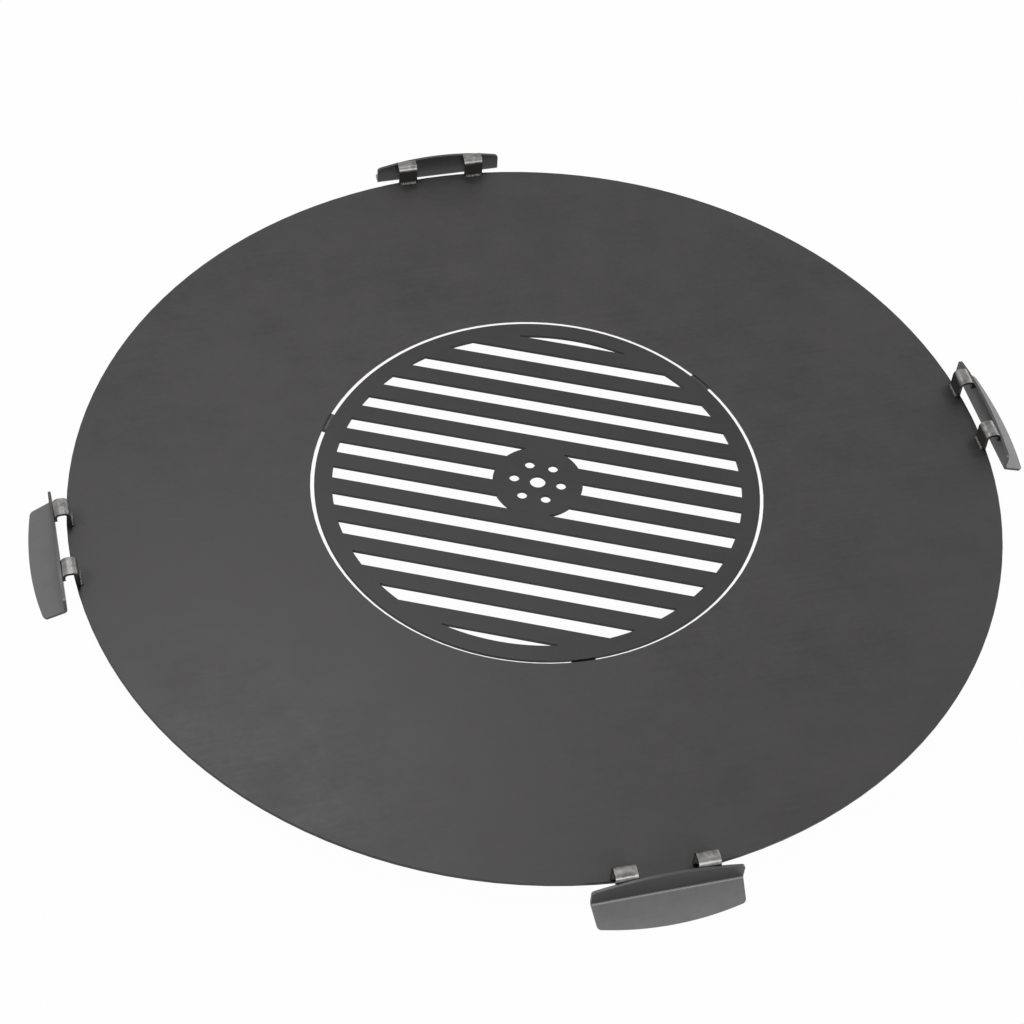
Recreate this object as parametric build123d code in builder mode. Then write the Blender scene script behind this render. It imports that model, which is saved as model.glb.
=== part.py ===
"""Griddle plate with a lift-out slotted grate and four bent-sheet handles.

Millimetres. The handles lie on +X, +Y, -X and -Y, the plate is level, and Z = 0 is the level
that the lips of the handles stand on.
"""

import os
from math import cos, radians, sin, tan

from build123d import *

# Griddle plate: a flat ring
plate_diameter = 820.0
plate_thickness = 3.0
hole_diameter = 400.0
edge_break = 0.4

# Cooking grate: a slotted disc that lies loose in the plate's hole
grate_play = 3.4
grate_rim_width = 15.7
slot_pitch = 30.0
slot_width = 13.5
slot_corner_radius = 0.4
hub_diameter = 80.0
hub_hole_diameter = 14.0
hub_ring_hole_diameter = 9.0
hub_ring_hole_count = 6
hub_ring_diameter = 42.0
grate_turn = -24.3
grate_shift_x = -0.1
grate_shift_y = -1.0
smallest_slot_depth = 4.0

# Lugs under the plate that carry the grate
lug_count = 3
lug_first_angle = 27.5
lug_width = 20.0
lug_thickness = 4.0
lug_grate_overlap = 13.0
lug_plate_overlap = 23.0
lug_corner_radius = 3.0
lug_weld_leg = 2.5
lug_weld_setback = 2.0

# Grips: bent sheet with an upright flange and a lip that slopes down and out
grip_length = 122.0
grip_sheet = 2.5
grip_gap = 8.25
grip_bend_radius = 2.5
grip_crown_height = 17.4
grip_end_height = 9.7
flange_corner_radius = 3.0
flange_lean = 1.0
fold_drop = 5.2
lip_slope = 24.5
lip_length = 26.3
lip_end_length = 19.8
lip_end_taper = 1.8
lip_corner_radius = 4.0

# Straps: strip bent into an upside-down U, two to a grip
strap_spacing = 66.0
strap_width = 18.0
strap_sheet = 2.5
strap_bend_radius = 3.0
strap_height = 19.5
strap_span = 13.7
strap_end_height = 10.5
strap_weld_leg = 2.6
strap_weld_inset = 1.0
strap_weld_bulge = 0.2
grip_weld_leg = 1.5

plate_radius = plate_diameter / 2
hole_radius = hole_diameter / 2
grate_radius = hole_radius - grate_play
slot_field_radius = grate_radius - grate_rim_width
grate_thickness = plate_thickness

slope = radians(lip_slope)
plate_top = fold_drop + lip_length * sin(slope) + grip_sheet * cos(slope)
plate_underside = plate_top - plate_thickness
grip_face = plate_radius + grip_gap
fold_level = plate_top - fold_drop
strap_outer_bend = strap_bend_radius + strap_sheet
strap_top = plate_top + strap_height
strap_under = strap_top - strap_sheet
strap_inner_face = grip_face - strap_span
strap_end = plate_top + strap_end_height

lean = radians(flange_lean)
grip_sheet_across = grip_sheet / cos(lean)
strap_sheet_across = strap_sheet / cos(lean)

lug_inner = grate_radius - lug_grate_overlap
lug_outer = hole_radius + lug_plate_overlap
lug_length = lug_outer - lug_inner
lug_middle = (lug_inner + lug_outer) / 2

handle_angles = {"right": 0, "back": 90, "left": 180, "front": 270}
strap_sides = {"a": -strap_spacing / 2, "b": strap_spacing / 2}

os.makedirs("parts", exist_ok=True)


def flange_face(level):
    """Return how far out the leaning inner face of the grip's flange lies at this level."""
    return grip_face + (level - plate_top) * tan(lean)


def save(part, label):
    """Name a finished piece and write its file."""
    part.label = label
    export_step(part, f"parts/{label}.step")


with BuildPart() as griddle_plate:
    with BuildSketch(Plane.XY.offset(plate_underside)):
        Circle(plate_radius)
        Circle(hole_radius, mode=Mode.SUBTRACT)
    extrude(amount=plate_thickness)
    chamfer(griddle_plate.edges().filter_by(GeomType.CIRCLE), edge_break)
save(griddle_plate.part, "griddle_plate")

grate_plane = Plane(
    origin=(grate_shift_x, grate_shift_y, plate_underside),
    x_dir=(cos(radians(grate_turn)), sin(radians(grate_turn)), 0),
    z_dir=(0, 0, 1),
)
row_count = int((slot_field_radius - smallest_slot_depth + slot_width / 2) // slot_pitch)

with BuildPart() as cooking_grate:
    with BuildSketch(grate_plane):
        Circle(grate_radius)
    extrude(amount=grate_thickness)
    chamfer(cooking_grate.edges().filter_by(GeomType.CIRCLE), edge_break)
    with BuildSketch(grate_plane) as slots:
        with Locations(*[(0, row * slot_pitch) for row in range(-row_count, row_count + 1)]):
            Rectangle(2 * grate_radius, slot_width)
        Circle(slot_field_radius, mode=Mode.INTERSECT)
        Circle(hub_diameter / 2, mode=Mode.SUBTRACT)
        fillet(slots.vertices(), slot_corner_radius)
    extrude(amount=grate_thickness, mode=Mode.SUBTRACT)
    with BuildSketch(grate_plane):
        Circle(hub_hole_diameter / 2)
        with PolarLocations(hub_ring_diameter / 2, hub_ring_hole_count):
            Circle(hub_ring_hole_diameter / 2)
    extrude(amount=grate_thickness, mode=Mode.SUBTRACT)
save(cooking_grate.part, "cooking_grate")

with BuildPart() as grate_lug:
    with BuildSketch(Plane.XY.offset(plate_underside - lug_thickness)) as lug_outline:
        with Locations((lug_middle, 0)):
            Rectangle(lug_length, lug_width)
        fillet(lug_outline.vertices(), lug_corner_radius)
    extrude(amount=lug_thickness)

# The bead runs round the three sides of the lug that lie under the plate.
bead_start = hole_radius + lug_weld_setback
bead_length = lug_outer + lug_weld_leg - bead_start

with BuildPart() as lug_weld:
    with BuildSketch(Plane.XY.offset(plate_underside)) as bead_outline:
        with Locations((bead_start, 0)):
            Rectangle(bead_length, lug_width + 2 * lug_weld_leg, align=(Align.MIN, Align.CENTER))
        fillet(bead_outline.vertices().group_by(Axis.X)[-1], lug_corner_radius + lug_weld_leg)
    extrude(amount=-lug_weld_leg, taper=40)
    with BuildSketch(Plane.XY.offset(plate_underside)) as lug_cut:
        with Locations((lug_middle, 0)):
            Rectangle(lug_length, lug_width)
        fillet(lug_cut.vertices(), lug_corner_radius)
    extrude(amount=-lug_thickness, mode=Mode.SUBTRACT)

for number in range(lug_count):
    angle = lug_first_angle + number * 360 / lug_count
    save(grate_lug.part.rotate(Axis.Z, angle), f"grate_lug_{number + 1}")
    save(lug_weld.part.rotate(Axis.Z, angle), f"lug_weld_{number + 1}")

# Section of the grip: the fold is where the faces on its open side would meet.
fold_out = flange_face(fold_level) + grip_sheet_across
lip_direction = (cos(slope), -sin(slope))
lip_tip = (fold_out + lip_length * lip_direction[0], fold_level + lip_length * lip_direction[1])
lip_foot = (lip_tip[0] - grip_sheet * sin(slope), lip_tip[1] - grip_sheet * cos(slope))
heel_rise = (lip_foot[0] - flange_face(lip_foot[1])) * tan(slope) / (1 + tan(lean) * tan(slope))
heel_level = lip_foot[1] + heel_rise
heel_out = flange_face(heel_level)
crown = plate_top + grip_crown_height
shoulder = plate_top + grip_end_height
half_length = grip_length / 2
lip_half_width = half_length - lip_end_taper
lip_plane = Plane(
    origin=(fold_out, 0, fold_level),
    x_dir=(cos(slope), 0, -sin(slope)),
    z_dir=(sin(slope), 0, cos(slope)),
)

with BuildPart() as handle_grip:
    with BuildSketch(Plane.XZ) as section:
        with BuildLine():
            Polyline(
                (flange_face(crown), crown),
                (flange_face(crown) + grip_sheet_across, crown),
                (fold_out, fold_level),
                lip_tip,
                lip_foot,
                (heel_out, heel_level),
                close=True,
            )
        make_face()
        inner_corner = section.vertices().sort_by_distance((fold_out, fold_level, 0))[0]
        fillet(inner_corner, grip_bend_radius)
        heel_corner = section.vertices().sort_by_distance((heel_out, heel_level, 0))[0]
        fillet(heel_corner, grip_bend_radius + grip_sheet)
    extrude(amount=half_length, both=True)
    with BuildSketch(Plane.YZ) as flange_outline:
        with BuildLine():
            ThreePointArc((-half_length, shoulder), (0, crown), (half_length, shoulder))
            Polyline((half_length, shoulder), (half_length, -shoulder), (-half_length, -shoulder),
                     (-half_length, shoulder))
        make_face()
        flange_corners = flange_outline.vertices().sort_by(Axis.Y)[-2:]
        fillet(flange_corners, flange_corner_radius)
    extrude(amount=plate_diameter, mode=Mode.INTERSECT)
    with BuildSketch(lip_plane) as lip_outline:
        with BuildLine():
            ThreePointArc((lip_end_length, -lip_half_width), (lip_length, 0), (lip_end_length, lip_half_width))
            Polyline((lip_end_length, lip_half_width), (0, half_length), (-lip_length, half_length),
                     (-lip_length, -half_length), (0, -half_length), (lip_end_length, -lip_half_width))
        make_face()
        lip_corners = lip_outline.vertices().sort_by(Axis.X)[-2:]
        fillet(lip_corners, lip_corner_radius)
    extrude(amount=2 * grip_crown_height, both=True, mode=Mode.INTERSECT)

with BuildPart() as handle_strap:
    with BuildSketch(Plane.XZ) as strap_section:
        with BuildLine():
            Polyline(
                (strap_inner_face, plate_top),
                (strap_inner_face, strap_top),
                (flange_face(strap_top), strap_top),
                (flange_face(strap_end), strap_end),
                (flange_face(strap_end) - strap_sheet_across, strap_end),
                (flange_face(strap_under) - strap_sheet_across, strap_under),
                (strap_inner_face + strap_sheet, strap_under),
                (strap_inner_face + strap_sheet, plate_top),
                close=True,
            )
        make_face()
        fillet(strap_section.vertices().group_by(Axis.Y)[-1], strap_outer_bend)
        under_corners = [v for v in strap_section.vertices() if abs(v.Y - strap_under) < edge_break / 2]
        fillet(under_corners, strap_bend_radius)
    extrude(amount=strap_width / 2, both=True)

# The bead along the strap's foot, on the plate, swells a little beyond its flat face.
bead_bulge = strap_weld_leg / 2 + strap_weld_bulge

with BuildPart() as strap_weld:
    with BuildSketch(Plane.XZ):
        with BuildLine():
            Line((strap_inner_face, plate_top), (strap_inner_face, plate_top + strap_weld_leg))
            ThreePointArc(
                (strap_inner_face, plate_top + strap_weld_leg),
                (strap_inner_face - bead_bulge, plate_top + bead_bulge),
                (strap_inner_face - strap_weld_leg, plate_top),
            )
            Line((strap_inner_face - strap_weld_leg, plate_top), (strap_inner_face, plate_top))
        make_face()
    extrude(amount=strap_width / 2 - strap_weld_inset, both=True)

# The bead under the strap's outer end, on the grip
with BuildPart() as grip_weld:
    with BuildSketch(Plane.XZ):
        with BuildLine():
            Polyline(
                (flange_face(strap_end), strap_end),
                (flange_face(strap_end) - grip_weld_leg, strap_end),
                (flange_face(strap_end - grip_weld_leg), strap_end - grip_weld_leg),
                close=True,
            )
        make_face()
    extrude(amount=strap_width / 2 - strap_weld_inset, both=True)

for side, angle in handle_angles.items():
    save(handle_grip.part.rotate(Axis.Z, angle), f"grip_{side}")
    for letter, offset in strap_sides.items():
        place = Rotation(0, 0, angle) * Location((0, offset, 0))
        save(place * handle_strap.part, f"strap_{side}_{letter}")
        save(place * strap_weld.part, f"strap_weld_{side}_{letter}")
        save(place * grip_weld.part, f"grip_weld_{side}_{letter}")
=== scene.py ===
"""Looks of a griddle plate with a lift-out slotted grate and four bent-sheet handles."""

import logging
import math
import random
from dataclasses import dataclass
from enum import Enum
from typing import Any

import bmesh
import bpy
from mathutils import Matrix, Vector


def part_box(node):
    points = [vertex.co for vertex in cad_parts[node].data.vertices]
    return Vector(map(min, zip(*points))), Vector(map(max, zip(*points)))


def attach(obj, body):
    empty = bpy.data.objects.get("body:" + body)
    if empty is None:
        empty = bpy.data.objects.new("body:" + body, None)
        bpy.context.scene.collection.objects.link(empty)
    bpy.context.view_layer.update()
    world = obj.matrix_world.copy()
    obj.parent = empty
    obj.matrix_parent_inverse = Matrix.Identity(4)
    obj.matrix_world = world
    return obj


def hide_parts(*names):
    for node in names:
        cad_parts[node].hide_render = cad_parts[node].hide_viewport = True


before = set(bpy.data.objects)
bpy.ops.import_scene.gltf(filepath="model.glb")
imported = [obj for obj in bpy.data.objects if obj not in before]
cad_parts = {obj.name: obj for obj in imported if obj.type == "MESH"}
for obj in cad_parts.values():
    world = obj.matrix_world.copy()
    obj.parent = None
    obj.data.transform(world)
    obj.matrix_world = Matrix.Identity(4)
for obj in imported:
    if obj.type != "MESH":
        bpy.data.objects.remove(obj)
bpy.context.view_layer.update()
LOG = logging.getLogger("griddle")

MM = 0.001
MM_PER_M = 1000.0
SIDES = {"right": 0, "back": 90, "left": 180, "front": 270}
LETTERS = ("a", "b")
# Where a strap's foot stands: along its handle's axis, across it, and level.
STRAP_FOOT = (404.6 * MM, 33.0 * MM, 0.0)
# The band of values that layered noise mostly fills.
NOISE_LOW, NOISE_HIGH = 0.36, 0.64
# Sockets of a Mix node that mixes colours.
MIX_A, MIX_B, MIX_OUT = 6, 7, 2


class Body(Enum):
    """The two rigid bodies of the object."""

    PLATE = "plate"
    GRATE = "grate"


def linear(colour: str) -> tuple[float, float, float, float]:
    """Turn an sRGB hex colour into linear light.

    Args:
        colour: six hex digits after a hash sign.

    Returns:
        Red, green, blue and an alpha of one.
    """
    parts = [int(colour[i:i + 2], 16) / 255 for i in (1, 3, 5)]
    curve = [c / 12.92 if c <= 0.04045 else ((c + 0.055) / 1.055) ** 2.4 for c in parts]
    return (*curve, 1.0)


def per_mm(size: float) -> float:
    """Return the texture scale at which one feature is this many millimetres."""
    return MM_PER_M / size


def add(tree: bpy.types.NodeTree, kind: str, links: dict[Any, Any] | None = None,
        values: dict[Any, Any] | None = None, **settings: Any) -> bpy.types.Node:
    """Add a node with its settings, socket values and links.

    Args:
        tree: node tree that takes the node.
        kind: Blender's name for the node type.
        links: input socket to the output socket that feeds it.
        values: input socket to the constant that it holds.
        settings: properties of the node itself.

    Returns:
        The new node.
    """
    node = tree.nodes.new(kind)
    for name, value in settings.items():
        setattr(node, name, value)
    for socket, value in (values or {}).items():
        node.inputs[socket].default_value = value
    for socket, output in (links or {}).items():
        tree.links.new(output, node.inputs[socket])
    return node


def ramp(node: bpy.types.Node, *stops: tuple[float, tuple[float, float, float, float]]) -> None:
    """Set the stops of a colour ramp.

    Args:
        node: the colour ramp node.
        stops: position and colour of each stop, in order.
    """
    elements = node.color_ramp.elements
    while len(elements) < len(stops):
        elements.new(1.0)
    for element, (position, colour) in zip(elements, stops):
        element.position = position
        element.color = colour


def shade(colour: str, share: float) -> tuple[float, float, float, float]:
    """Return an sRGB hex colour in linear light, made lighter or darker by this share."""
    red, green, blue, alpha = linear(colour)
    return (red * share, green * share, blue * share, alpha)


@dataclass(frozen=True)
class SheetSteel:
    """Hot-rolled steel sheet, in its blackened mill scale or pickled clean, cut by laser.

    The eye sees a satin grey with soft clouds, faint rolling streaks and a fine grain, and
    another tone, finely ribbed, on the wall where the beam cut through it. On the grips that
    tone is painted shade on the upright flange, its top edge and the faces that point down.
    """

    name: str
    dark: str
    light: str
    # Tone of the cut walls; on the grips it is painted shade on the upright flange.
    cut: str
    metallic: float
    wall_metallic: float
    rough_low: float
    rough_high: float
    cloud_mm: float = 55.0
    fleck_mm: float = 5.0
    streak_mm: float = 2.2
    streak_run: float = 0.03
    fleck_share: float = 0.3
    streak_share: float = 0.18
    grain_mm: float = 1.1
    rib_mm: float = 0.9
    turn: float = 0.0
    bump: float = 0.06
    bump_mm: float = 0.4
    # A face is a wall where the upward share of its normal falls through this band.
    wall_from: float = 0.35
    wall_to: float = 0.15
    # Faces that point up more than this are edges, and take the wall's tone as painted shade on the
    # grips' flange tops. At 2 there are none.
    edge_level: float = 2.0
    edge_band: float = 0.006
    # Whether faces that point down take the wall's tone too, as painted shade under them.
    dark_below: bool = False
    # Tone of the walls that face the middle of the plate, where it differs: painted shade on the
    # grips' flanges, painted light on the plate's shadowed hole wall.
    inner: str = ""
    inward_from: float = -0.06
    inward_to: float = -0.15
    edge_mm: float = 0.4
    # Share of its colour that the sheet keeps in the halo round each strap's foot, which is partly
    # weld scorch and partly painted shadow.
    tint: float = 1.0
    rib_run: float = 0.04
    cut_spread: float = 1.25
    inner_spread: float = 1.6
    scorch_ragged_mm: float = 8.0
    scorch_core_mm: float = 11.0
    scorch_reach_mm: float = 19.0

    def material(self) -> bpy.types.Material:
        """Build the material.

        Returns:
            A node material on Object coordinates.
        """
        made = bpy.data.materials.new(self.name)
        made.use_nodes = True
        tree = made.node_tree
        shader = tree.nodes["Principled BSDF"]
        place = add(tree, "ShaderNodeTexCoord")
        turned = add(tree, "ShaderNodeMapping", {"Vector": place.outputs["Object"]},
                     {"Rotation": (0, 0, math.radians(self.turn))})
        at = turned.outputs["Vector"]
        cloud = add(tree, "ShaderNodeTexNoise", {"Vector": at},
                    {"Scale": per_mm(self.cloud_mm), "Detail": 5.0, "Roughness": 0.6})
        fleck = add(tree, "ShaderNodeTexNoise", {"Vector": at},
                    {"Scale": per_mm(self.fleck_mm), "Detail": 3.0, "Roughness": 0.65})
        drawn = add(tree, "ShaderNodeMapping", {"Vector": at},
                    {"Scale": (self.streak_run, 1.0, 1.0)})
        streak = add(tree, "ShaderNodeTexNoise", {"Vector": drawn.outputs["Vector"]},
                     {"Scale": per_mm(self.streak_mm), "Detail": 2.0})
        speckled = add(tree, "ShaderNodeMix",
                       {"A": cloud.outputs["Fac"], "B": fleck.outputs["Fac"]},
                       {"Factor": self.fleck_share})
        rolled = add(tree, "ShaderNodeMix",
                     {"A": speckled.outputs["Result"], "B": streak.outputs["Fac"]},
                     {"Factor": self.streak_share})
        tone = add(tree, "ShaderNodeValToRGB", {"Fac": rolled.outputs["Result"]})
        ramp(tone, (NOISE_LOW, linear(self.dark)), (NOISE_HIGH, linear(self.light)))
        # Wall mask: cut walls, and on the grips also painted shade on the upright flange, its top edge
        # and the faces that point down.
        normal = add(tree, "ShaderNodeSeparateXYZ", {"Vector": place.outputs["Normal"]})
        level = normal.outputs["Z"]
        if not self.dark_below:
            level = add(tree, "ShaderNodeMath", {0: level}, operation="ABSOLUTE").outputs["Value"]
        upright = add(tree, "ShaderNodeMapRange", {"Value": level},
                      {"From Min": self.wall_from, "From Max": self.wall_to})
        edge = add(tree, "ShaderNodeMapRange", {"Value": level},
                   {"From Min": self.edge_level - self.edge_band,
                    "From Max": self.edge_level + self.edge_band})
        wall = add(tree, "ShaderNodeMath",
                   {0: upright.outputs["Result"], 1: edge.outputs["Result"]}, operation="MAXIMUM")
        side = self.wall_tone(tree, place, rolled.outputs["Result"])
        hue = add(tree, "ShaderNodeMix",
                  {"Factor": wall.outputs["Value"], MIX_A: tone.outputs["Color"], MIX_B: side},
                  data_type="RGBA")
        colour = hue.outputs[MIX_OUT]
        # Weld scorch and painted shadow: a darker halo round each strap's foot.
        if self.tint < 1.0:
            burnt = self.heat(tree, place, fleck.outputs["Fac"])
            colour = add(tree, "ShaderNodeVectorMath", {0: colour, "Scale": burnt},
                         operation="SCALE").outputs["Vector"]
        tree.links.new(colour, shader.inputs["Base Color"])
        gloss = add(tree, "ShaderNodeMapRange", {"Value": rolled.outputs["Result"]},
                    {"From Min": NOISE_LOW, "From Max": NOISE_HIGH,
                     "To Min": self.rough_low, "To Max": self.rough_high})
        tree.links.new(gloss.outputs["Result"], shader.inputs["Roughness"])
        shader.inputs["Metallic"].default_value = self.metallic
        if self.wall_metallic != self.metallic:
            bare = add(tree, "ShaderNodeMapRange", {"Value": wall.outputs["Value"]},
                       {"To Min": self.metallic, "To Max": self.wall_metallic})
            tree.links.new(bare.outputs["Result"], shader.inputs["Metallic"])
        grain = add(tree, "ShaderNodeTexNoise", {"Vector": at},
                    {"Scale": per_mm(self.grain_mm), "Detail": 2.0})
        flat = add(tree, "ShaderNodeMapping", {"Vector": place.outputs["Object"]},
                   {"Scale": (1.0, 1.0, self.rib_run)})
        rib = add(tree, "ShaderNodeTexNoise", {"Vector": flat.outputs["Vector"]},
                  {"Scale": per_mm(self.rib_mm), "Detail": 1.0})
        height = add(tree, "ShaderNodeMix", {"Factor": wall.outputs["Value"],
                                             "A": grain.outputs["Fac"], "B": rib.outputs["Fac"]})
        soft = add(tree, "ShaderNodeBevel", values={"Radius": self.edge_mm * MM}, samples=4)
        rough = add(tree, "ShaderNodeBump",
                    {"Height": height.outputs["Result"], "Normal": soft.outputs["Normal"]},
                    {"Strength": self.bump, "Distance": self.bump_mm * MM})
        tree.links.new(rough.outputs["Normal"], shader.inputs["Normal"])
        return made

    def heat(self, tree: bpy.types.NodeTree, place: bpy.types.Node,
             pattern: bpy.types.NodeSocket) -> bpy.types.NodeSocket:
        """Darken the sheet in a ragged halo round each strap's foot: partly the scorch that welding
        leaves, partly painted shadow round the strap.

        Args:
            tree: node tree of the material.
            place: its texture coordinates.
            pattern: noise that makes the halo ragged.

        Returns:
            The share of its colour that the sheet keeps.
        """
        at = add(tree, "ShaderNodeSeparateXYZ", {"Vector": place.outputs["Object"]})
        across, along = (add(tree, "ShaderNodeMath", {0: at.outputs[axis]},
                             operation="ABSOLUTE").outputs["Value"] for axis in "XY")
        far = add(tree, "ShaderNodeMath", {0: across, 1: along}, operation="MAXIMUM")
        near = add(tree, "ShaderNodeMath", {0: across, 1: along}, operation="MINIMUM")
        folded = add(tree, "ShaderNodeCombineXYZ",
                     {"X": far.outputs["Value"], "Y": near.outputs["Value"]})
        away = add(tree, "ShaderNodeVectorMath", {0: folded.outputs["Vector"]}, {1: STRAP_FOOT},
                   operation="DISTANCE")
        wavy = add(tree, "ShaderNodeMath", {0: pattern, 2: away.outputs["Value"]},
                   {1: self.scorch_ragged_mm * MM}, operation="MULTIPLY_ADD")
        kept = add(tree, "ShaderNodeMapRange", {"Value": wavy.outputs["Value"]},
                   {"From Min": self.scorch_core_mm * MM, "From Max": self.scorch_reach_mm * MM,
                    "To Min": self.tint, "To Max": 1.0})
        return kept.outputs["Result"]

    def wall_tone(self, tree: bpy.types.NodeTree, place: bpy.types.Node,
                  pattern: bpy.types.NodeSocket) -> bpy.types.NodeSocket:
        """Colour the upright faces, with another tone where they face the middle of the plate.
        On the grips both tones are painted shade; on the plate the inner one is painted light on
        the shadowed hole wall.

        Args:
            tree: node tree of the material.
            place: its texture coordinates.
            pattern: cloud pattern of the sheet.

        Returns:
            The colour of the upright faces.
        """
        outer = add(tree, "ShaderNodeValToRGB", {"Fac": pattern})
        ramp(outer, (NOISE_LOW, linear(self.cut)), (NOISE_HIGH, shade(self.cut, self.cut_spread)))
        if not self.inner:
            return outer.outputs["Color"]
        inner = add(tree, "ShaderNodeValToRGB", {"Fac": pattern})
        ramp(inner, (NOISE_LOW, linear(self.inner)),
             (NOISE_HIGH, shade(self.inner, self.inner_spread)))
        facing = add(tree, "ShaderNodeVectorMath",
                     {0: place.outputs["Normal"], 1: place.outputs["Object"]}, operation="DOT_PRODUCT")
        inward = add(tree, "ShaderNodeMapRange", {"Value": facing.outputs["Value"]},
                     {"From Min": self.inward_from, "From Max": self.inward_to})
        both = add(tree, "ShaderNodeMix",
                   {"Factor": inward.outputs["Result"], MIX_A: outer.outputs["Color"],
                    MIX_B: inner.outputs["Color"]}, data_type="RGBA")
        return both.outputs[MIX_OUT]


@dataclass(frozen=True)
class BrightStrip:
    """Cold-rolled steel strip, left bare and bent cold.

    The eye sees a light satin metal on top, slightly clouded by handling. The legs are painted
    shade, and the faces inside the strap's hollow are a darker painted shadow.
    """

    name: str
    dark: str
    light: str
    # The legs' tone is painted shade, and the hollow's tone is painted shadow under the strap.
    leg: str
    hollow: str
    rough_low: float
    rough_high: float
    line_mm: float = 0.9
    cloud_mm: float = 6.0
    leg_metallic: float = 0.2
    hollow_metallic: float = 0.9
    bump: float = 0.08
    bump_mm: float = 0.2
    edge_mm: float = 0.4
    cloud_low: float = 0.3
    cloud_high: float = 0.7
    # A face is a leg, painted with shade, where the upward share of its normal falls through this
    # band.
    leg_from: float = 0.35
    leg_to: float = 0.1
    # A leg's face lies in the strap's hollow, painted with a darker shadow, where it turns from the
    # plate's middle outwards.
    hollow_from: float = -0.1
    hollow_to: float = 0.1

    def material(self) -> bpy.types.Material:
        """Build the material.

        Returns:
            A node material on Object coordinates.
        """
        made = bpy.data.materials.new(self.name)
        made.use_nodes = True
        tree = made.node_tree
        shader = tree.nodes["Principled BSDF"]
        place = add(tree, "ShaderNodeTexCoord")
        cloud = add(tree, "ShaderNodeTexNoise", {"Vector": place.outputs["Object"]},
                    {"Scale": per_mm(self.cloud_mm), "Detail": 4.0, "Roughness": 0.6})
        grain = add(tree, "ShaderNodeTexNoise", {"Vector": place.outputs["Object"]},
                    {"Scale": per_mm(self.line_mm), "Detail": 2.0})
        tone = add(tree, "ShaderNodeValToRGB", {"Fac": cloud.outputs["Fac"]})
        ramp(tone, (self.cloud_low, linear(self.dark)), (self.cloud_high, linear(self.light)))
        normal = add(tree, "ShaderNodeSeparateXYZ", {"Vector": place.outputs["Normal"]})
        upright = add(tree, "ShaderNodeMapRange", {"Value": normal.outputs["Z"]},
                      {"From Min": self.leg_from, "From Max": self.leg_to})
        facing = add(tree, "ShaderNodeVectorMath",
                     {0: place.outputs["Normal"], 1: place.outputs["Object"]}, operation="DOT_PRODUCT")
        hidden = add(tree, "ShaderNodeMapRange", {"Value": facing.outputs["Value"]},
                     {"From Min": self.hollow_from, "From Max": self.hollow_to})
        # Painted shade on the legs, darkest as painted shadow in the strap's hollow.
        legs = add(tree, "ShaderNodeMix", {"Factor": hidden.outputs["Result"]},
                   {MIX_A: linear(self.leg), MIX_B: linear(self.hollow)}, data_type="RGBA")
        hue = add(tree, "ShaderNodeMix",
                  {"Factor": upright.outputs["Result"], MIX_A: tone.outputs["Color"],
                   MIX_B: legs.outputs[MIX_OUT]}, data_type="RGBA")
        tree.links.new(hue.outputs[MIX_OUT], shader.inputs["Base Color"])
        gloss = add(tree, "ShaderNodeMapRange", {"Value": cloud.outputs["Fac"]},
                    {"From Min": self.cloud_low, "From Max": self.cloud_high,
                     "To Min": self.rough_low, "To Max": self.rough_high})
        tree.links.new(gloss.outputs["Result"], shader.inputs["Roughness"])
        dull = add(tree, "ShaderNodeMapRange", {"Value": hidden.outputs["Result"]},
                   {"To Min": self.leg_metallic, "To Max": self.hollow_metallic})
        bare = add(tree, "ShaderNodeMapRange",
                   {"Value": upright.outputs["Result"], "To Max": dull.outputs["Result"]},
                   {"To Min": 1.0})
        tree.links.new(bare.outputs["Result"], shader.inputs["Metallic"])
        soft = add(tree, "ShaderNodeBevel", values={"Radius": self.edge_mm * MM}, samples=4)
        rough = add(tree, "ShaderNodeBump",
                    {"Height": grain.outputs["Fac"], "Normal": soft.outputs["Normal"]},
                    {"Strength": self.bump, "Distance": self.bump_mm * MM})
        tree.links.new(rough.outputs["Normal"], shader.inputs["Normal"])
        return made


@dataclass(frozen=True)
class WeldMetal:
    """Weld metal as laid, with its thin oxide.

    The eye sees a grey bead, clouded by a darker, faintly brown oxide.
    """

    name: str
    bare: str
    oxide: str
    rough: float
    metallic: float = 0.8
    bloom_mm: float = 3.0
    bloom_low: float = 0.35
    bloom_high: float = 0.65
    bump: float = 0.15
    bump_mm: float = 0.3

    def material(self) -> bpy.types.Material:
        """Build the material.

        Returns:
            A node material on Object coordinates.
        """
        made = bpy.data.materials.new(self.name)
        made.use_nodes = True
        tree = made.node_tree
        shader = tree.nodes["Principled BSDF"]
        place = add(tree, "ShaderNodeTexCoord")
        bloom = add(tree, "ShaderNodeTexNoise", {"Vector": place.outputs["Object"]},
                    {"Scale": per_mm(self.bloom_mm), "Detail": 3.0})
        tone = add(tree, "ShaderNodeValToRGB", {"Fac": bloom.outputs["Fac"]})
        ramp(tone, (self.bloom_low, linear(self.oxide)), (self.bloom_high, linear(self.bare)))
        tree.links.new(tone.outputs["Color"], shader.inputs["Base Color"])
        shader.inputs["Roughness"].default_value = self.rough
        shader.inputs["Metallic"].default_value = self.metallic
        rough = add(tree, "ShaderNodeBump", {"Height": bloom.outputs["Fac"]},
                    {"Strength": self.bump, "Distance": self.bump_mm * MM})
        tree.links.new(rough.outputs["Normal"], shader.inputs["Normal"])
        return made


def dress(names: list[str], finish: bpy.types.Material) -> None:
    """Give CAD nodes a finish.

    Args:
        names: nodes of the frame.
        finish: material that they take.
    """
    for name in names:
        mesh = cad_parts[name].data
        mesh.materials.clear()
        mesh.materials.append(finish)
        LOG.info("dressed %s in %s", name, finish.name)


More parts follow.
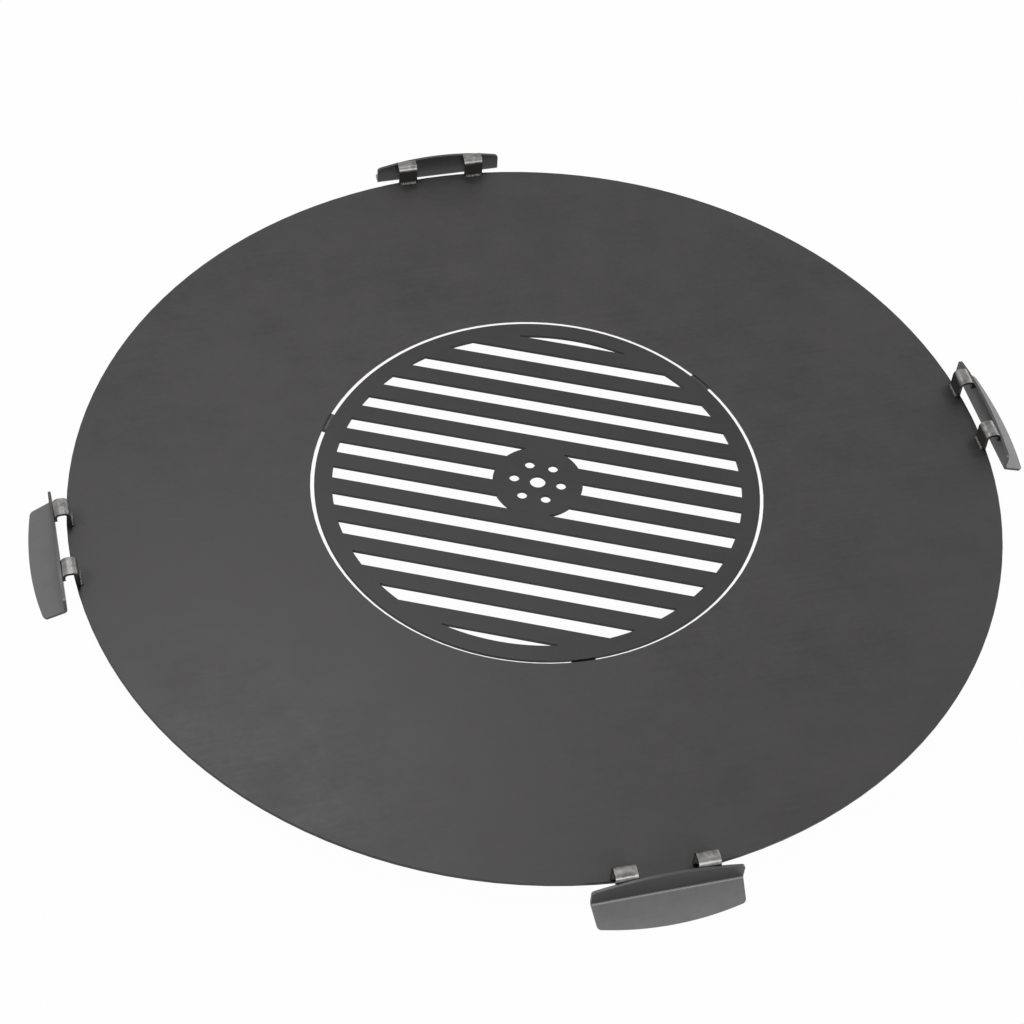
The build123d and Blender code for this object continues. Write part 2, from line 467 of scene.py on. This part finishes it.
@dataclass
class WeldBead:
    """A rippled fillet bead in the corner between two flat faces.

    Each ripple is four rings. The rings' sizes are shares of the leg, and their distances are
    shares of the ripple.
    """

    leg: float
    ripple: float
    swell: float = 0.06
    seed: int = 7
    # Share of its size that the bead keeps between its tacked ends, and how long a tack is.
    waist: float = 1.0
    tack: float = 3.4 * MM
    least_ripples: int = 3
    segments: int = 28
    tip: float = 0.35
    first_ring: float = 0.75
    last_ring: float = 0.4
    uneven: float = 0.25
    wobble: float = 0.8
    ring_swells: tuple[float, ...] = (-0.6, 1.0, 0.3, -1.0)
    ring_shares: tuple[float, ...] = (0.12, 0.3, 0.33, 0.25)
    bow: float = 0.35
    bow_centre: float = 0.7
    bow_margin: float = 0.3

    def quarter(self, shape: bmesh.types.BMesh) -> bmesh.types.BMFace:
        """Start the bead with the small quarter disc at its tip.

        Args:
            shape: mesh that takes the bead.

        Returns:
            The quarter disc's face.
        """
        disc = bmesh.ops.create_circle(shape, cap_ends=True, cap_tris=False,
                                       segments=self.segments, radius=self.leg)
        faces = list({f for v in disc["verts"] for f in v.link_faces})
        for side in ((1, 0, 0), (0, 1, 0)):
            parts = faces + [e for f in faces for e in f.edges] + [v for f in faces for v in f.verts]
            cut = bmesh.ops.bisect_plane(shape, geom=list(dict.fromkeys(parts)), dist=1e-9,
                                         plane_co=(0, 0, 0), plane_no=side, clear_inner=True)
            faces = [g for g in cut["geom"] if isinstance(g, bmesh.types.BMFace)]
        bmesh.ops.scale(shape, vec=(self.tip, self.tip, 1.0), verts=faces[0].verts)
        return faces[0]

    def rings(self, length: float) -> list[tuple[float, float]]:
        """Plan the bead's rings from end to end.

        Args:
            length: how far the bead runs.

        Returns:
            Each ring's size as a share of the leg, and its distance from the one before.
        """
        draw = random.Random(self.seed)
        count = max(self.least_ripples, round(length / self.ripple))
        steps = [draw.uniform(1 - self.uneven, 1 + self.uneven) for _ in range(count)]
        steps = [step * length / sum(steps) for step in steps]
        waves = [1.0 + share * self.swell for share in self.ring_swells]
        planned = []
        done = 0.0
        for step in steps:
            middle = done + step / 2
            done += step
            inward = min(middle, length - middle) / self.tack - 0.5
            lift = 1.0 + draw.uniform(-self.wobble, self.wobble) * self.swell
            lift *= 1.0 + (self.waist - 1.0) * min(1.0, max(0.0, inward))
            planned += [(wave * lift, step * share) for wave, share in zip(waves, self.ring_shares)]
        planned[0] = (self.first_ring, planned[0][1])
        planned[-1] = (self.last_ring, planned[-1][1])
        return planned

    def lay(self, shape: bmesh.types.BMesh, start: Vector, end: Vector, up: Vector,
            away: Vector) -> None:
        """Lay the bead into a mesh as one closed quarter-round with ripples.

        Args:
            shape: mesh that takes the bead.
            start: corner point where the bead begins.
            end: corner point where the bead ends.
            up: direction of the standing face, away from the lying face.
            away: direction of the lying face, away from the standing face.
        """
        run = end - start
        frame_of_bead = Matrix((away, up, run.normalized())).transposed().to_4x4()
        face = cap = self.quarter(shape)
        size = self.tip
        made = list(face.verts)
        for goal, step in self.rings(run.length):
            grown = bmesh.ops.extrude_face_region(shape, geom=[face])
            if face is not cap:
                bmesh.ops.delete(shape, geom=[face], context="FACES")
            face = next(g for g in grown["geom"] if isinstance(g, bmesh.types.BMFace))
            bmesh.ops.scale(shape, vec=(goal / size, goal / size, 1.0), verts=face.verts)
            bmesh.ops.translate(shape, vec=(0, 0, step), verts=face.verts)
            made.extend(face.verts)
            size = goal
        made = list(dict.fromkeys(made))
        bow = self.bow * self.ripple / self.leg
        for vertex in made:
            if min(vertex.co.z, run.length - vertex.co.z) > self.bow_margin * self.ripple:
                vertex.co.z += bow * (self.bow_centre * self.leg - vertex.co.xy.length)
        bmesh.ops.transform(shape, matrix=Matrix.Translation(start) @ frame_of_bead, verts=made)


def finish_mesh(name: str, shape: bmesh.types.BMesh, finish: bpy.types.Material,
                smooth: bool = True) -> bpy.types.Object:
    """Turn a bmesh into a finished object at the origin.

    Args:
        name: the piece's name.
        shape: its mesh, in metres and in place.
        finish: its material.
        smooth: whether its faces are shaded smooth.

    Returns:
        The new object.
    """
    bmesh.ops.recalc_face_normals(shape, faces=shape.faces)
    for face in shape.faces:
        face.smooth = smooth
    mesh = bpy.data.meshes.new(name)
    shape.to_mesh(mesh)
    shape.free()
    mesh.materials.append(finish)
    piece = bpy.data.objects.new(name, mesh)
    bpy.context.scene.collection.objects.link(piece)
    return piece


@dataclass
class HandleWelds:
    """The beads that hold a strap to the plate and to its grip."""

    foot_leg: float = 2.4 * MM
    end_leg: float = 1.5 * MM
    ripple: float = 1.9 * MM
    waist: float = 0.78

    def build(self, finish: bpy.types.Material) -> None:
        """Lay the two beads of every strap.

        Args:
            finish: weld metal.
        """
        for side, angle in SIDES.items():
            turn = Matrix.Rotation(math.radians(angle), 3, "Z")
            out = turn @ Vector((1, 0, 0))
            for letter in LETTERS:
                self.bead(f"strap_weld_{side}_{letter}", turn, -out, 1, self.foot_leg, finish)
                self.bead(f"grip_weld_{side}_{letter}", turn, -out, -1, self.end_leg, finish)

    def bead(self, node: str, turn: Matrix, away: Vector, rise: int, leg: float,
             finish: bpy.types.Material) -> None:
        """Lay one bead in the place of its plain solid.

        Args:
            node: the solid that the bead stands for.
            turn: rotation of the handle about the plate's axis.
            away: direction from the corner along the lying face.
            rise: which way the bead stands on the upright face.
            leg: size of the bead.
            finish: weld metal.
        """
        low, high = (turn.transposed() @ Vector(corner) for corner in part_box(node))
        near = [min(a, b) for a, b in zip(low, high)]
        far = [max(a, b) for a, b in zip(low, high)]
        level = near[2] if rise > 0 else far[2]
        start = turn @ Vector((far[0], near[1], level))
        end = turn @ Vector((far[0], far[1], level))
        shape = bmesh.new()
        bead = WeldBead(leg, self.ripple, seed=sum(map(ord, node)), waist=self.waist)
        bead.lay(shape, start, end, Vector((0, 0, rise)), away)
        piece = finish_mesh(f"{node}_bead", shape, finish)
        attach(piece, Body.PLATE.value)
        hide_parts(node)
        LOG.info("laid %s", piece.name)


@dataclass
class LugWelds:
    """The beads round the three sides of each lug that lie under the plate."""

    count: int = 3
    first_angle: float = 27.5
    leg: float = 2.4 * MM
    ripple: float = 2.0 * MM
    width: float = 20.0 * MM
    outer: float = 223.0 * MM
    inner: float = 203.0 * MM
    corner: float = 3.0 * MM

    def build(self, finish: bpy.types.Material) -> None:
        """Lay the beads of every lug.

        Args:
            finish: weld metal.
        """
        for number in range(self.count):
            node = f"lug_weld_{number + 1}"
            turn = Matrix.Rotation(math.radians(self.first_angle + number * 360 / self.count), 3, "Z")
            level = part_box(node)[1][2]
            half = self.width / 2
            down = Vector((0, 0, -1))
            shape = bmesh.new()
            runs = (((self.inner, half), (self.outer - self.corner, half), (0, 1)),
                    ((self.outer, half - self.corner), (self.outer, self.corner - half), (1, 0)),
                    ((self.outer - self.corner, -half), (self.inner, -half), (0, -1)))
            for seed, (begin, stop, away) in enumerate(runs):
                WeldBead(self.leg, self.ripple, seed=10 * number + seed).lay(
                    shape, turn @ Vector((*begin, level)), turn @ Vector((*stop, level)), down,
                    turn @ Vector((*away, 0)))
            piece = finish_mesh(f"{node}_bead", shape, finish)
            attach(piece, Body.PLATE.value)
            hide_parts(node)
            LOG.info("laid %s", piece.name)


@dataclass
class Studio:
    """Floor, light and camera."""

    lens: float = 79.28
    place: tuple[float, float, float] = (-0.3937, -1.2529, 1.5129)
    turn: float = -16.55
    tilt: float = 49.54
    roll: float = 4.2
    floor_size: float = 30.0
    floor_white: float = 0.98
    floor_colour: str = "#f0f0f0"
    ambient: float = 0.05
    boxes: tuple[tuple[str, tuple[float, float, float], float, float, float], ...] = (
        ("near_box", (-0.3, 0.4, 1.35), 0.5, 0.5, 8.4),
        ("key_box", (2.3, 0.9, 2.6), 0.45, 0.45, 10.0),
        ("front_box", (0.3, -3.2, 1.9), 1.1, 0.5, 38.0),
        ("right_box", (2.4, 1.5, 0.6), 1.2, 0.6, 7.0),
    )

    def build(self) -> None:
        """Set up the whole studio."""
        self.floor()
        self.world()
        self.lamps()
        self.camera()
        bpy.context.scene.view_settings.view_transform = "Standard"

    def shown(self, tree: bpy.types.NodeTree) -> bpy.types.NodeSocket:
        """Tell the rays that show the background from the rays that light the object.

        Args:
            tree: node tree that takes the test.

        Returns:
            A socket that is one where the background is seen.
        """
        path = add(tree, "ShaderNodeLightPath")
        first = add(tree, "ShaderNodeMath",
                    {0: path.outputs["Is Camera Ray"], 1: path.outputs["Is Glossy Ray"]},
                    operation="ADD")
        both = add(tree, "ShaderNodeMath",
                   {0: first.outputs["Value"], 1: path.outputs["Is Transmission Ray"]},
                   operation="ADD", use_clamp=True)
        return both.outputs["Value"]

    def floor(self) -> None:
        """Lay a plain pale floor that keeps a faint shadow."""
        shape = bmesh.new()
        bmesh.ops.create_grid(shape, x_segments=1, y_segments=1, size=self.floor_size / 2)
        made = bpy.data.materials.new("white_paper_floor")
        made.use_nodes = True
        tree = made.node_tree
        tree.nodes.remove(tree.nodes["Principled BSDF"])
        matt = add(tree, "ShaderNodeBsdfDiffuse", values={"Color": linear(self.floor_colour)})
        glow = add(tree, "ShaderNodeEmission", values={"Color": (1, 1, 1, 1), "Strength": 1.0})
        share = add(tree, "ShaderNodeMath", {0: self.shown(tree)}, {1: self.floor_white},
                    operation="MULTIPLY")
        mixed = add(tree, "ShaderNodeMixShader",
                    {0: share.outputs["Value"], 1: matt.outputs["BSDF"], 2: glow.outputs["Emission"]})
        tree.links.new(mixed.outputs["Shader"], tree.nodes["Material Output"].inputs["Surface"])
        floor = finish_mesh("floor", shape, made, smooth=False)

    def world(self) -> None:
        """Surround the object with soft white light."""
        world = bpy.data.worlds.new("white_studio")
        bpy.context.scene.world = world
        world.use_nodes = True
        tree = world.node_tree
        sky = tree.nodes["Background"]
        sky.inputs["Color"].default_value = (1, 1, 1, 1)
        level = add(tree, "ShaderNodeMapRange", {"Value": self.shown(tree)},
                    {"To Min": self.ambient, "To Max": 1.0})
        tree.links.new(level.outputs["Result"], sky.inputs["Strength"])

    def lamps(self) -> None:
        """Hang the soft boxes round the object."""
        for name, place, width, height, power in self.boxes:
            lamp = bpy.data.lights.new(name, "AREA")
            lamp.shape = "RECTANGLE"
            lamp.size = width
            lamp.size_y = height
            lamp.energy = power
            held = bpy.data.objects.new(name, lamp)
            held.location = place
            held.rotation_euler = (-Vector(place)).to_track_quat("-Z", "Y").to_euler()
            held.visible_camera = False
            bpy.context.scene.collection.objects.link(held)

    def camera(self) -> None:
        """Set the camera where the photograph was taken."""
        seen = bpy.data.cameras.new("photo_camera")
        seen.sensor_fit = "HORIZONTAL"
        seen.sensor_width = 36.0
        seen.lens = self.lens
        seen.clip_end = 100.0
        held = bpy.data.objects.new("photo_camera", seen)
        turn = (Matrix.Rotation(math.radians(self.turn), 4, "Z")
                @ Matrix.Rotation(math.radians(90 - self.tilt), 4, "X")
                @ Matrix.Rotation(math.radians(self.roll), 4, "Z"))
        held.matrix_world = Matrix.Translation(self.place) @ turn
        bpy.context.scene.collection.objects.link(held)
        bpy.context.scene.camera = held


def main() -> None:
    """Dress the frame, add the beads and set up the studio."""
    logging.basicConfig(level=logging.INFO, format="%(name)s: %(message)s")
    # The plate's inner tone is painted light on its shadowed hole wall, and its halo round each
    # strap's foot is partly painted shadow.
    plate = SheetSteel("mill_scale_plate", "#2a2828", "#3d3b3b", "#343231", metallic=0.2,
                       wall_metallic=0.2, rough_low=0.44, rough_high=0.6, inner="#5a5755", tint=0.55)
    grate = SheetSteel("mill_scale_grate", "#181717", "#292828", "#1c1b1a", metallic=0.2,
                       wall_metallic=0.2, rough_low=0.46, rough_high=0.56, turn=24.0)
    # The grip's wall and inner tones are painted shade on its flange, flange top and underside.
    grip = SheetSteel("pickled_grip_sheet", "#6f6e6e", "#797878", "#444343", metallic=0.5,
                      wall_metallic=0.15, rough_low=0.4, rough_high=0.5, cloud_mm=25.0,
                      edge_level=0.935, dark_below=True, inner="#363535")
    # The lug's steel is painted lighter than the plate's, as painted light on its shadowed top.
    lug = SheetSteel("mill_scale_lug_painted_light", "#595857", "#636261", "#484746", metallic=0.2,
                     wall_metallic=0.2, rough_low=0.46, rough_high=0.6, cloud_mm=18.0)
    # The strip's leg tone is painted shade and its hollow tone is painted shadow.
    strip = BrightStrip("cold_rolled_strip", "#5c5b5a", "#8c8b8a", "#3c3b3a", "#141313",
                        rough_low=0.31, rough_high=0.42)
    weld = WeldMetal("weld_metal", "#6a6867", "#393736", rough=0.5).material()
    dress(["griddle_plate"], plate.material())
    dress(["cooking_grate"], grate.material())
    dress([f"grate_lug_{n}" for n in (1, 2, 3)], lug.material())
    dress([f"grip_{side}" for side in SIDES], grip.material())
    dress([f"strap_{side}_{letter}" for side in SIDES for letter in LETTERS], strip.material())
    HandleWelds().build(weld)
    LugWelds().build(weld)
    Studio().build()


if __name__ == "__main__":
    main()
